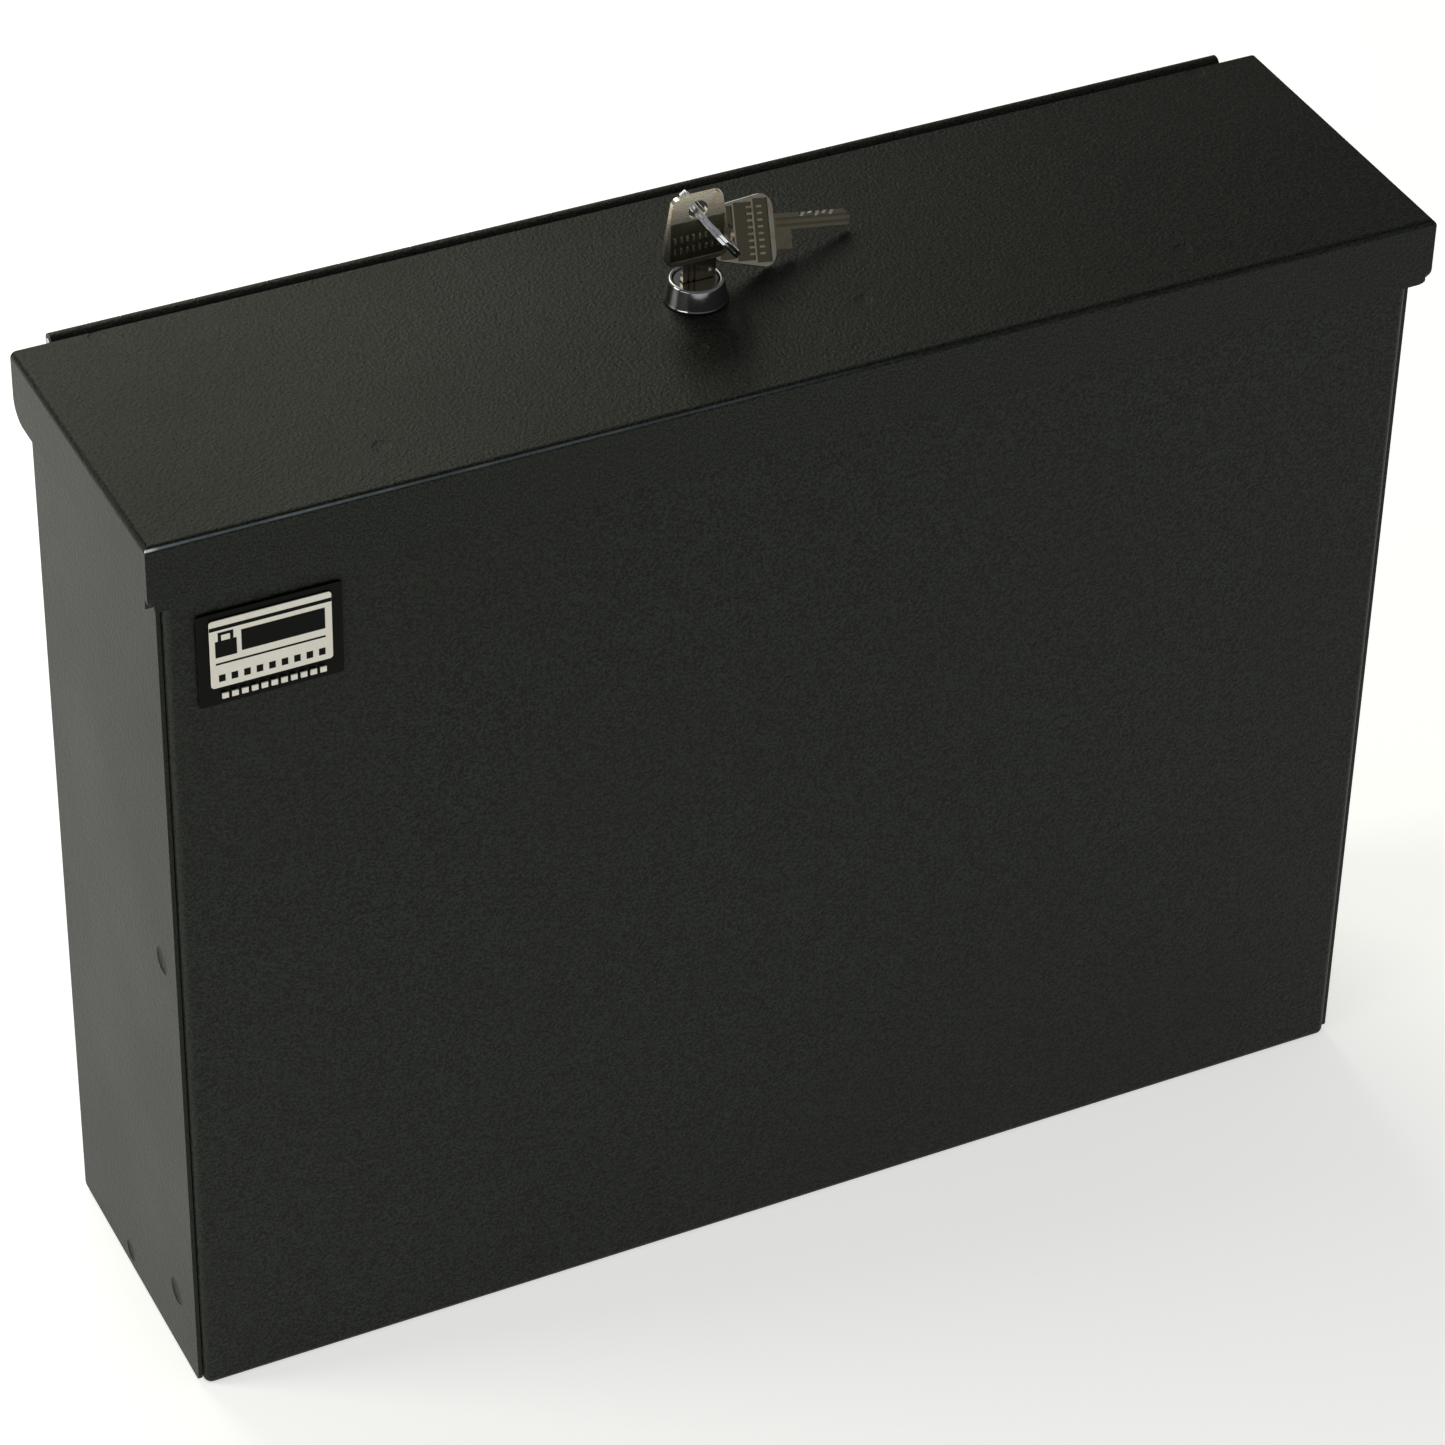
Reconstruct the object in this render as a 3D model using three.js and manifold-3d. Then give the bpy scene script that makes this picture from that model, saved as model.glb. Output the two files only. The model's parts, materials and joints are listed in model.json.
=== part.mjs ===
// Lockable sheet-steel box with a hinged pan lid, a cam lock and two keys on a ring.
// Millimetres, +Z up, +Y to the rear. The origin is under the middle of the box, on the floor.

import * as THREE from 'three';
import { mergeVertices } from 'three/addons/utils/BufferGeometryUtils.js';
import Module from 'manifold-3d';

const wasm = await Module();
wasm.setup();

// ---------------------------------------------------------------- driving dimensions

const GAP = 0.3;                       // clearance between pieces that touch on the real box
const SHEET = 1.5;                     // 16 gauge steel
const LID = { width: 460, depth: 119.5, top: 358, skirt: 24.5, bend: 2.2 };
const BODY = { sideGap: 4.5, frontGap: 3.4, top: 354, bend: 3, flange: 26, lowFlange: 14 };
const HINGE = { pitch: 25.4, count: 17, leaf: 1.2, outer: 3, bore: 1.8, pin: 1.5, drop: 2.2 };
const LOCK = { x: -16.5, fromFront: 58.5, plug: 6, face: 7.4, barrel: 9.5, rim: 9.1, base: 10.8, proud: 8 };
const KEY = { bottom: 24, top: 18, length: 25.2, thick: 2, neck: 6.8, blade: 25, hole: 3.4, holeUp: 19.9 };
const RING = { diameter: 26.6, wide: 2.4, thick: 1.3 };
const CAM = { reach: 44, thick: 2, half: 7 };
const LABEL = { x: -189.5, bottom: 290.6, width: 49, height: 35.4, thick: 0.8 };

// ---------------------------------------------------------------- places that follow from them

const hingeY = BODY.frontGap + 116.3 + GAP + HINGE.outer;   // from the lid's front face
const MID = (hingeY + HINGE.outer) / 2;                     // the lid's front face is at -MID
const fromFront = (y) => y - MID;
const hingeZ = LID.top - HINGE.drop;
const hingeAxisY = fromFront(hingeY);
const half = LID.width / 2;
const plateOuter = half - BODY.sideGap;
const wrapHalf = plateOuter - SHEET - GAP;
const bodyFront = fromFront(BODY.frontGap);
const bodyRear = bodyFront + 116.3;
const lockY = fromFront(LOCK.fromFront);
const plugFace = LID.top + LOCK.proud - 0.8;
const barrelEnd = LID.top - 24.5;
const camTop = barrelEnd - 1.9;
const camEnd = camTop - CAM.thick;
const underLid = LID.top - SHEET - GAP;

// ---------------------------------------------------------------- solids and booleans

function solid(geometry) {
  const bare = geometry.clone();
  bare.deleteAttribute('normal');
  bare.deleteAttribute('uv');
  const merged = mergeVertices(bare, 1e-4);
  return new wasm.Manifold(new wasm.Mesh({
    numProp: 3,
    vertProperties: new Float32Array(merged.attributes.position.array),
    triVerts: new Uint32Array(merged.index.array),
  }));
}

function geometryOf(manifold) {
  const mesh = manifold.getMesh();
  const geometry = new THREE.BufferGeometry();
  geometry.setAttribute('position', new THREE.BufferAttribute(mesh.vertProperties, 3));
  geometry.setIndex(new THREE.BufferAttribute(mesh.triVerts, 1));
  geometry.computeVertexNormals();
  return geometry;
}

const union = (solids) => solids.reduce((sum, next) => sum.add(next));
const cutAll = (base, cutters) => cutters.reduce((rest, cutter) => rest.subtract(cutter), base);

function block(x, y, z) {
  const geometry = new THREE.BoxGeometry(x[1] - x[0], y[1] - y[0], z[1] - z[0]);
  return solid(geometry.translate((x[0] + x[1]) / 2, (y[0] + y[1]) / 2, (z[0] + z[1]) / 2));
}

// A disc or rod along 'x', 'y' or 'z', from one end coordinate to the other.
function rod(radius, axis, ends, centre, sides = 32) {
  const geometry = new THREE.CylinderGeometry(radius, radius, ends[1] - ends[0], sides);
  const middle = (ends[0] + ends[1]) / 2;
  if (axis === 'x') geometry.rotateZ(Math.PI / 2).translate(middle, centre[0], centre[1]);
  if (axis === 'y') geometry.translate(centre[0], middle, centre[1]);
  if (axis === 'z') geometry.rotateX(Math.PI / 2).translate(centre[0], centre[1], middle);
  return solid(geometry);
}

// A closed outline extruded along one axis. Across X the outline's x is Y and its y is Z;
// across Y it is X and Z; across Z it is X and Y.
const FRAMES = {
  x: new THREE.Matrix4().set(0, 0, 1, 0, 1, 0, 0, 0, 0, 1, 0, 0, 0, 0, 0, 1),
  y: new THREE.Matrix4().set(1, 0, 0, 0, 0, 0, -1, 0, 0, 1, 0, 0, 0, 0, 0, 1),
  z: new THREE.Matrix4(),
};

function extrude(shape, axis, ends, curveSegments = 5) {
  const settings = { depth: ends[1] - ends[0], bevelEnabled: false, curveSegments };
  const geometry = new THREE.ExtrudeGeometry(shape, settings);
  geometry.translate(0, 0, axis === 'y' ? -ends[1] : ends[0]);
  return solid(geometry.applyMatrix4(FRAMES[axis]));
}

// A rectangle whose four corner radii go anticlockwise from the lower left.
function roundedRect(x0, x1, y0, y1, radii) {
  const [a, b, c, d] = radii;
  const shape = new THREE.Shape();
  shape.moveTo(x0 + a, y0);
  shape.lineTo(x1 - b, y0);
  if (b) shape.absarc(x1 - b, y0 + b, b, -Math.PI / 2, 0);
  shape.lineTo(x1, y1 - c);
  if (c) shape.absarc(x1 - c, y1 - c, c, 0, Math.PI / 2);
  shape.lineTo(x0 + d, y1);
  if (d) shape.absarc(x0 + d, y1 - d, d, Math.PI / 2, Math.PI);
  shape.lineTo(x0, y0 + a);
  if (a) shape.absarc(x0 + a, y0 + a, a, Math.PI, Math.PI * 1.5);
  return shape;
}

// ---------------------------------------------------------------- finishes

function finish(color, roughness, metalness) {
  return () => new THREE.MeshStandardMaterial({ color, roughness, metalness });
}

const powderCoat = finish(0x23231f, 0.6, 0.2);
const barePlate = finish(0xa9a69c, 0.45, 0.9);
const chrome = finish(0xd8d8d8, 0.15, 1);
const nickel = finish(0xb9ad92, 0.3, 1);
const brass = finish(0xb08a4c, 0.35, 1);
const white = finish(0xe9e7df, 0.5, 0);

const box = new THREE.Group();

function place(name, piece, material, parent = box) {
  const geometry = piece.isBufferGeometry ? piece : geometryOf(piece);
  const mesh = new THREE.Mesh(geometry, material());
  mesh.name = name;
  parent.add(mesh);
  return mesh;
}

// ---------------------------------------------------------------- body: folded wrap and end plates

// A block with rounded bends on its standing edges and along its floor.
function foldedBlock(inset) {
  const x = wrapHalf - inset;
  const y = [bodyFront + inset, bodyRear - inset];
  const bend = BODY.bend - inset;
  const top = BODY.top + inset;
  const plan = extrude(roundedRect(-x, x, y[0], y[1], [bend, bend, bend, bend]), 'z', [inset, top]);
  const side = extrude(roundedRect(y[0], y[1], inset, top, [bend, bend, 0, 0]), 'x', [-x, x]);
  const front = extrude(roundedRect(-x, x, inset, top, [bend, bend, 0, 0]), 'y', y);
  return plan.intersect(side).intersect(front);
}

// The window that leaves the welding flanges round an open side, and the corner slits of the fold.
function sideWindow() {
  const reach = [-half, half];
  const y = [bodyFront + BODY.flange, bodyRear - BODY.flange];
  const slit = 1;
  const open = block(reach, y, [BODY.lowFlange, BODY.top + 1]);
  const slits = [bodyFront, bodyRear].map((edge) => {
    const turn = edge === bodyFront ? 1 : -1;
    const nearY = edge + turn * (BODY.bend + 1);
    const farY = edge + turn * (BODY.flange + 1);
    return block(reach, [Math.min(nearY, farY), Math.max(nearY, farY)],
      [BODY.lowFlange, BODY.lowFlange + slit]);
  });
  return union([open, ...slits]).intersect(union([-1, 1].map((side) => block(
    side < 0 ? [-half, 4 - wrapHalf] : [wrapHalf - 4, half], [-MID, MID], [0, LID.top]))));
}

place('body_wrap', foldedBlock(0).subtract(foldedBlock(SHEET)).subtract(sideWindow()), powderCoat);

const plugWelds = [[18.5, 180.5, 5], [23.5, 29, 5.2], [70, 8.5, 4]];
const weldDepth = 0.5;

function endPlate(side) {
  const near = side * (plateOuter - SHEET);
  const far = side * plateOuter;
  const ends = [Math.min(near, far), Math.max(near, far)];
  const y = [bodyFront + BODY.bend - 0.4, bodyRear - BODY.bend + 0.4];
  const plate = extrude(roundedRect(y[0], y[1], 1.6, BODY.top, [1.5, 1.5, 0, 0]), 'x', ends);
  const mouth = side > 0 ? [far - weldDepth, far + 1] : [far - 1, far + weldDepth];
  return cutAll(plate, plugWelds.map(([y0, z, r]) => rod(r, 'x', mouth, [fromFront(y0), z], 20)));
}

place('left_end_plate', endPlate(-1), powderCoat);
place('right_end_plate', endPlate(1), powderCoat);

// ---------------------------------------------------------------- catch bracket inside the front

const catchInner = bodyFront + SHEET + GAP;
const shelfTop = camTop + 2.9;
const catchHalf = 25;
const shelfDepth = 21;

function catchBracket() {
  const foot = roundedRect(-catchHalf, catchHalf, shelfTop - 34, shelfTop, [3, 3, 0, 0]);
  const shelf = roundedRect(-catchHalf, catchHalf, catchInner, catchInner + shelfDepth, [0, 0, 3, 3]);
  return extrude(foot, 'y', [catchInner, catchInner + SHEET])
    .add(extrude(shelf, 'z', [shelfTop - SHEET, shelfTop]));
}

place('catch_bracket', catchBracket(), powderCoat);

// ---------------------------------------------------------------- piano hinge

const hingeHalf = HINGE.pitch * HINGE.count / 2;
const barrel = [hingeAxisY, hingeZ];

function knuckleSpan(index) {
  const start = -hingeHalf + index * HINGE.pitch;
  return [start + 0.25, start + HINGE.pitch - 0.25];
}

// The knuckles of one leaf, each with the tab that joins it to the leaf.
function knuckles(first, tab) {
  const rolled = [];
  for (let index = first; index < HINGE.count; index += 2) {
    const span = knuckleSpan(index);
    rolled.push(rod(HINGE.outer, 'x', span, barrel, 24), tab(span));
  }
  return union(rolled);
}

const hingeBore = () => rod(HINGE.bore, 'x', [-half, half], barrel, 24);

function bodyLeaf() {
  const y = [bodyRear + GAP, bodyRear + GAP + HINGE.leaf];
  const top = hingeZ - HINGE.outer - 0.8;
  const plate = block([-hingeHalf, hingeHalf], y, [top - 22, top]);
  const tab = (span) => block(span, y, [top - 5, hingeZ]);
  return plate.add(knuckles(0, tab)).subtract(hingeBore());
}

const lidRear = fromFront(LID.depth);

function lidLeaf() {
  const z = [underLid - HINGE.leaf, underLid];
  const plate = block([-hingeHalf, hingeHalf], [lidRear - 24, lidRear], z);
  const tab = (span) => block(span, [lidRear - 4, hingeAxisY], z);
  return plate.add(knuckles(1, tab)).subtract(hingeBore());
}

place('hinge_leaf_body', bodyLeaf(), powderCoat);
place('hinge_leaf_lid', lidLeaf(), powderCoat);
place('hinge_pin', rod(HINGE.pin, 'x', [-hingeHalf, hingeHalf], barrel, 20), barePlate);

// ---------------------------------------------------------------- name plate, left blank

function labelPart(side, low, high, y, radius) {
  const w = LABEL.width / 2 - side;
  const outline = roundedRect(LABEL.x - w, LABEL.x + w, LABEL.bottom + low,
    LABEL.bottom + LABEL.height - high, [radius, radius, radius, radius]);
  return extrude(outline, 'y', y);
}

const labelBack = bodyFront - GAP;
const labelFront = labelBack - LABEL.thick;
place('label_plate', labelPart(0, 0, 0, [labelFront, labelBack], 0.8), finish(0x14140f, 0.35, 0));
place('label_face', labelPart(4, 7.1, 2.5, [labelFront - GAP - 0.4, labelFront - GAP], 1.2), white);

// ---------------------------------------------------------------- lid: pan, stiffener

const lockHoleRadius = LOCK.barrel + GAP;

// The lid's block, its bends along the top, grown inwards by the inset.
function panBlock(inset) {
  const x = half - inset;
  const top = LID.top - inset;
  const bend = Math.max(LID.bend - inset, 0.5);
  const bottom = LID.top - LID.skirt - inset;
  const rear = lidRear + inset;
  const front = roundedRect(-x, x, bottom, top, [0, 0, bend, bend]);
  const side = roundedRect(-MID + inset, rear, bottom, top, [0, 0, 0, bend]);
  return extrude(front, 'y', [-MID + inset, rear]).intersect(extrude(side, 'x', [-x, x]));
}

// What rounding a lower corner of radius r takes off, in the outline's own plane.
function cornerOff(x, y, r, towardsX) {
  const square = roundedRect(Math.min(x, x + towardsX * r), Math.max(x, x + towardsX * r),
    y - 1, y + r, [0, 0, 0, 0]);
  return { square, centre: [x + towardsX * r, y + r], r };
}

function cornerCutter(corner, axis, ends) {
  return extrude(corner.square, axis, ends).subtract(rod(corner.r, axis, ends, corner.centre, 40));
}

function lidShell() {
  const low = LID.top - LID.skirt;
  const frontDepth = [-MID - 1, -MID + SHEET];
  const cutters = [rod(lockHoleRadius, 'z', [LID.top - 5, LID.top + 5], [LOCK.x, lockY], 48)];
  for (const side of [-1, 1]) {
    const ends = side < 0 ? [-half - 1, SHEET - half] : [half - SHEET, half + 1];
    cutters.push(cornerCutter(cornerOff(side * half, low, 5, -side), 'y', frontDepth));
    cutters.push(cornerCutter(cornerOff(-MID, low, 5, 1), 'x', ends));
    cutters.push(cornerCutter(cornerOff(lidRear, low, 8, -1), 'x', ends));
  }
  return cutAll(panBlock(0).subtract(panBlock(SHEET)), cutters);
}

place('lid_shell', lidShell(), powderCoat);

// A folded angle under the front of the lid stops it from flexing when it is levered.
function lidStiffener() {
  const x = [-150, 150];
  const near = fromFront(12);
  const flat = block(x, [near, fromFront(40)], [underLid - SHEET, underLid]);
  return flat.add(block(x, [near, near + SHEET], [underLid - 14, underLid]));
}

place('lid_stiffener', lidStiffener(), powderCoat);

// ---------------------------------------------------------------- cam lock

const lockParts = new THREE.Group();
lockParts.position.set(LOCK.x, lockY, 0);
box.add(lockParts);

// Cone-sided bezel on a straight threaded barrel, in one turned piece.
function lockHousing() {
  const bore = LOCK.plug + GAP;
  const profile = [
    [bore, barrelEnd], [LOCK.barrel, barrelEnd], [LOCK.barrel, LID.top + GAP],
    [LOCK.base, LID.top + GAP], [LOCK.base, LID.top + 1], [LOCK.rim, LID.top + LOCK.proud],
    [LOCK.rim - 1.3, LID.top + LOCK.proud], [LOCK.rim - 1.4, plugFace - 1],
    [bore, plugFace - 1], [bore, barrelEnd],
  ].map(([r, z]) => new THREE.Vector2(r, z));
  return solid(new THREE.LatheGeometry(profile, 48).rotateX(Math.PI / 2));
}

function washer(inner, outer, z, sides = 36) {
  return rod(outer, 'z', z, [0, 0], sides).subtract(rod(inner, 'z', [z[0] - 1, z[1] + 1], [0, 0], sides));
}

function spurWasher() {
  const z = [underLid - 1, underLid];
  const teeth = [0, 1, 2, 3, 4, 5].map((n) => {
    const angle = n * Math.PI / 3;
    return rod(1.1, 'z', z, [12.6 * Math.cos(angle), 12.6 * Math.sin(angle)], 3);
  });
  return washer(LOCK.barrel + GAP, 12.8, z).add(union(teeth));
}

const nutTop = underLid - 1 - GAP;

function lockNut() {
  const hexagon = rod(13.4, 'z', [nutTop - 5, nutTop], [0, 0], 6);
  return hexagon.subtract(rod(LOCK.barrel + GAP, 'z', [nutTop - 6, nutTop + 1], [0, 0], 36));
}

place('lock_housing', lockHousing(), chrome, lockParts);
place('lock_spur_washer', spurWasher(), barePlate, lockParts);
place('lock_nut', lockNut(), barePlate, lockParts);

// ---------------------------------------------------------------- plug, wafers and springs

const WAFER = { count: 5, pitch: 3, thick: 0.9, radius: 5.7 };
const waferTop = (index) => plugFace - 6 - index * WAFER.pitch;
const bladeX = [-5.1, 0.3];
const keywayX = [bladeX[0] - 0.4, bladeX[1] + 0.4];
const keywayHalf = KEY.thick / 2 + 0.3;
const bossHalf = 3.5;

function lockPlug() {
  const keyway = block(keywayX, [-keywayHalf, keywayHalf], [plugFace - KEY.blade - 2, plugFace + 1]);
  const slots = [];
  for (let index = 0; index < WAFER.count; index += 1) {
    const z = [waferTop(index) - WAFER.thick - 0.3, waferTop(index) + 0.3];
    slots.push(block([-7, 7], [-3.2, 1.8], z), block([-3.4, 4.4], [1.7, 3.4], z));
  }
  const boss = block([-bossHalf, bossHalf], [-bossHalf, bossHalf], [camEnd + GAP, barrelEnd + 0.1]);
  const screwHole = rod(2, 'z', [camEnd - 1, camEnd + 6.5], [0, 0], 20);
  const face = rod(LOCK.face, 'z', [plugFace - 0.7, plugFace], [0, 0], 40);
  const stem = rod(LOCK.plug, 'z', [barrelEnd, plugFace - 0.1], [0, 0], 40);
  return cutAll(stem.add(face).add(boss), [keyway, ...slots, screwHole]);
}

// A flat tumbler: a window for the blade and a lug for its spring.
function wafer(index) {
  const z = [waferTop(index) - WAFER.thick, waferTop(index)];
  const plate = block([-6, 6], [-2.9, 1.5], z).add(block([2.9, 3.9], [1.4, 3.1], z));
  const window = block([keywayX[0], keywayX[1] + 0.2], [-keywayHalf, keywayHalf], [z[0] - 1, z[1] + 1]);
  return plate.intersect(rod(WAFER.radius, 'z', z, [0, 0], 36)).subtract(window);
}

// A short coil spring that lies along X beside its wafer.
class Coil extends THREE.Curve {
  constructor(length, radius, turns) {
    super();
    Object.assign(this, { length, radius, turns });
  }

  getPoint(t) {
    const angle = t * this.turns * Math.PI * 2;
    return new THREE.Vector3(
      this.length * t, this.radius * Math.cos(angle), this.radius * Math.sin(angle));
  }
}

function waferSpring(index) {
  const section = new THREE.Shape().absarc(0, 0, 0.14, 0, Math.PI * 2);
  const coil = new Coil(5.3, 0.4, 5);
  const settings = { steps: 50, extrudePath: coil, bevelEnabled: false, curveSegments: 3 };
  const spring = new THREE.ExtrudeGeometry(section, settings);
  return spring.translate(-2.9, 2.45, waferTop(index) - WAFER.thick / 2);
}

place('lock_plug', lockPlug(), brass, lockParts);
for (let index = 0; index < WAFER.count; index += 1) {
  place(`tumbler_wafer_${index + 1}`, wafer(index), brass, lockParts);
  place(`wafer_spring_${index + 1}`, solid(waferSpring(index)), barePlate, lockParts);
}

// ---------------------------------------------------------------- cam and its fixings

const squareHole = (z) => {
  const side = bossHalf + GAP;
  return block([-side, side], [-side, side], [z[0] - 1, z[1] + 1]);
};

function stopWasher() {
  const z = [camTop + GAP, barrelEnd - GAP];
  const stop = block([-9.2, -6], [-3, 3], z);
  return rod(8, 'z', z, [0, 0], 32).add(stop).subtract(squareHole(z));
}

// The cam is a flat bar with a round root and a rounded tip.
function camBar() {
  const bar = new THREE.Shape();
  bar.absarc(0, 0, CAM.half, Math.PI / 2, Math.PI * 1.5);
  bar.lineTo(CAM.reach - 3, -CAM.half);
  bar.absarc(CAM.reach - 3, 3 - CAM.half, 3, -Math.PI / 2, 0);
  bar.absarc(CAM.reach - 3, CAM.half - 3, 3, 0, Math.PI / 2);
  bar.lineTo(0, CAM.half);
  return extrude(bar, 'z', [camEnd, camTop], 8).subtract(squareHole([camEnd, camTop]));
}

const washerTop = camEnd - GAP;
const headTop = washerTop - 1 - GAP;

// Pan head with a cross slot.
function camScrew() {
  const head = rod(4, 'z', [headTop - 2.6, headTop], [0, 0], 28);
  const shank = rod(1.65, 'z', [headTop - 0.1, camEnd + 5.5], [0, 0], 20);
  const cross = block([-2.4, 2.4], [-0.5, 0.5], [headTop - 4, headTop - 1.2]);
  const across = block([-0.5, 0.5], [-2.4, 2.4], [headTop - 4, headTop - 1.2]);
  return cutAll(head.add(shank), [cross, across]);
}

place('cam_stop_washer', stopWasher(), barePlate, lockParts);
place('cam', camBar(), barePlate, lockParts);
place('cam_lock_washer', washer(2.1, 4.4, [washerTop - 1, washerTop], 28), barePlate, lockParts);
place('cam_screw', camScrew(), barePlate, lockParts);

// ---------------------------------------------------------------- keys and ring

// The key's outline: x across, y along; y = 0 where the bow meets the neck, the blade downwards.
const bowMiddle = -0.2;
const neckX = [-5.2, 6.6];
const cuts = [1.4, 0.6, 1.8, 1.0, 1.5];

// The bow narrows upwards. Its lower corners are well rounded, its upper ones less.
function bowOutline(shape) {
  const low = 4.8;
  const high = 2.4;
  const flare = (KEY.bottom - KEY.top) / 2 / KEY.length;
  const edge = (y) => KEY.bottom / 2 - flare * y;
  shape.lineTo(bowMiddle + edge(0) - low, 0);
  shape.quadraticCurveTo(bowMiddle + edge(0), 0, bowMiddle + edge(low), low);
  shape.lineTo(bowMiddle + edge(KEY.length - high), KEY.length - high);
  shape.quadraticCurveTo(
    bowMiddle + edge(KEY.length), KEY.length, bowMiddle + edge(KEY.length) - high, KEY.length);
  shape.lineTo(bowMiddle - edge(KEY.length) + high, KEY.length);
  shape.quadraticCurveTo(
    bowMiddle - edge(KEY.length), KEY.length, bowMiddle - edge(KEY.length - high), KEY.length - high);
  shape.lineTo(bowMiddle - edge(low), low);
  shape.quadraticCurveTo(bowMiddle - edge(0), 0, bowMiddle - edge(0) + low, 0);
}

// Neck, then the straight edge of the blade, the pointed tip and the cut edge.
function keyOutline() {
  const tip = -KEY.neck - KEY.blade;
  const first = -KEY.neck - 5;
  const shape = new THREE.Shape();
  shape.moveTo(neckX[0], 0);
  shape.lineTo(neckX[0], -KEY.neck);
  shape.lineTo(bladeX[0], -KEY.neck);
  cuts.forEach((depth, index) => {
    const y = first - index * WAFER.pitch;
    shape.lineTo(bladeX[0], y + 1.5);
    shape.lineTo(bladeX[0] + depth, y + 0.5);
    shape.lineTo(bladeX[0] + depth, y - 0.5);
    shape.lineTo(bladeX[0], y - 1.49);
  });
  shape.lineTo(bladeX[0], tip + 2.5);
  shape.lineTo(bladeX[0] + 2.4, tip);
  shape.lineTo(bladeX[1] - 0.6, tip);
  shape.lineTo(bladeX[1], tip + 0.8);
  shape.lineTo(bladeX[1], -KEY.neck);
  shape.lineTo(neckX[1], -KEY.neck);
  shape.lineTo(neckX[1], 0);
  bowOutline(shape);
  shape.holes.push(new THREE.Path().absarc(bowMiddle, KEY.holeUp, KEY.hole, 0, Math.PI * 2, true));
  return shape;
}

function keyGeometry() {
  const settings = { depth: KEY.thick, bevelEnabled: false, curveSegments: 8 };
  const flat = new THREE.ExtrudeGeometry(keyOutline(), settings);
  return flat.translate(0, 0, -KEY.thick / 2).rotateX(Math.PI / 2);
}

const bowBottom = plugFace + GAP + KEY.neck;
const firstHole = new THREE.Vector3(LOCK.x + bowMiddle, lockY, bowBottom + KEY.holeUp);
const firstKey = place('key_in_lock', solid(keyGeometry()), nickel);
firstKey.position.set(LOCK.x, lockY, bowBottom);

// The ring passes through both keys' holes at opposite ends of one diameter, which slants down to
// the right and back. Its section is two flat turns lying side by side.
const slant = new THREE.Vector3(0.571, 0.387, -0.725).normalize();
const ringAxis = new THREE.Vector3(0.799, -0.034, 0.601).projectOnPlane(slant).normalize();

function ringSolid() {
  const outer = (RING.diameter + RING.thick) / 2;
  const inner = outer - RING.thick;
  const edge = RING.wide / 2;
  const profile = [
    [inner, -edge + 0.3], [inner + 0.3, -edge], [outer - 0.3, -edge], [outer, -edge + 0.3],
    [outer, -0.15], [outer - 0.25, 0], [outer, 0.15],
    [outer, edge - 0.3], [outer - 0.3, edge], [inner + 0.3, edge], [inner, edge - 0.3],
    [inner, -edge + 0.3],
  ].map(([r, z]) => new THREE.Vector2(r, z));
  const centre = firstHole.clone().addScaledVector(slant, RING.diameter / 2);
  const turn = new THREE.Matrix4().makeBasis(slant, ringAxis, slant.clone().cross(ringAxis));
  return solid(new THREE.LatheGeometry(profile, 56).applyMatrix4(turn.setPosition(centre)));
}

place('key_ring', ringSolid(), chrome);

// The spare key hangs by its hole from the ring's low end. It slopes down to the right, and its
// face leans back, so that its bow and its tip nearly rest on the lid.
const spareHole = firstHole.clone().addScaledVector(slant, RING.diameter);
const spareAxis = new THREE.Vector3(0.958, 0.141, -0.248).normalize();
const spareAcross = new THREE.Vector3(-0.137, -0.536, -0.833).projectOnPlane(spareAxis).normalize();
const spareUp = spareAxis.clone().negate();
const spareFace = spareUp.clone().cross(spareAcross);

const spareKey = place('spare_key', solid(keyGeometry()), nickel);
spareKey.quaternion.setFromRotationMatrix(
  new THREE.Matrix4().makeBasis(spareAcross, spareFace, spareUp));
spareKey.position.copy(spareHole)
  .addScaledVector(spareAxis, KEY.holeUp).addScaledVector(spareAcross, -bowMiddle);

export default box;
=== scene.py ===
import json
import math

import bmesh
import bpy
from mathutils import Matrix, Vector


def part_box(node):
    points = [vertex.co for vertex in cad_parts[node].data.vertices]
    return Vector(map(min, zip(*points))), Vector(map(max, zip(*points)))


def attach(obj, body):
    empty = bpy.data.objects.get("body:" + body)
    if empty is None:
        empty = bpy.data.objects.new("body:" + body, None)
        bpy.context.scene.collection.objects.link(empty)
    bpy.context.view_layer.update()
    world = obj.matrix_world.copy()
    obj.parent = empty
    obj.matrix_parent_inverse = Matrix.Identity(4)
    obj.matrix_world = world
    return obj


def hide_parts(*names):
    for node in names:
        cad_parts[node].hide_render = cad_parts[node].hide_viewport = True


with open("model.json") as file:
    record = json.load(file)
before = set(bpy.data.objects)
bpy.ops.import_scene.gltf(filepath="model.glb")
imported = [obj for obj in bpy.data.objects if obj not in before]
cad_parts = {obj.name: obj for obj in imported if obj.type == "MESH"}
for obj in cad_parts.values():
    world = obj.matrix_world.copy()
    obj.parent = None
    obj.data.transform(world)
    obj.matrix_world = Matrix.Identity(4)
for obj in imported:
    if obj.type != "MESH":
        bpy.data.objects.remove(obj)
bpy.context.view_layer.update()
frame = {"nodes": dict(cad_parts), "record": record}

MM = 0.001

# ---------------------------------------------------------------- camera, floor and light
# The box stands on a plain pale floor in a pale room, seen from above its left front corner. One
# soft box hangs behind and above it, one stands high on the left and one low on the left.


def linear(hex_colour):
    """An sRGB hex colour as linear red, green, blue and alpha."""
    channels = [int(hex_colour[i:i + 2], 16) / 255 for i in (1, 3, 5)]
    return tuple(c / 12.92 if c <= 0.04045 else ((c + 0.055) / 1.055) ** 2.4 for c in channels) + (1,)


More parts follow.
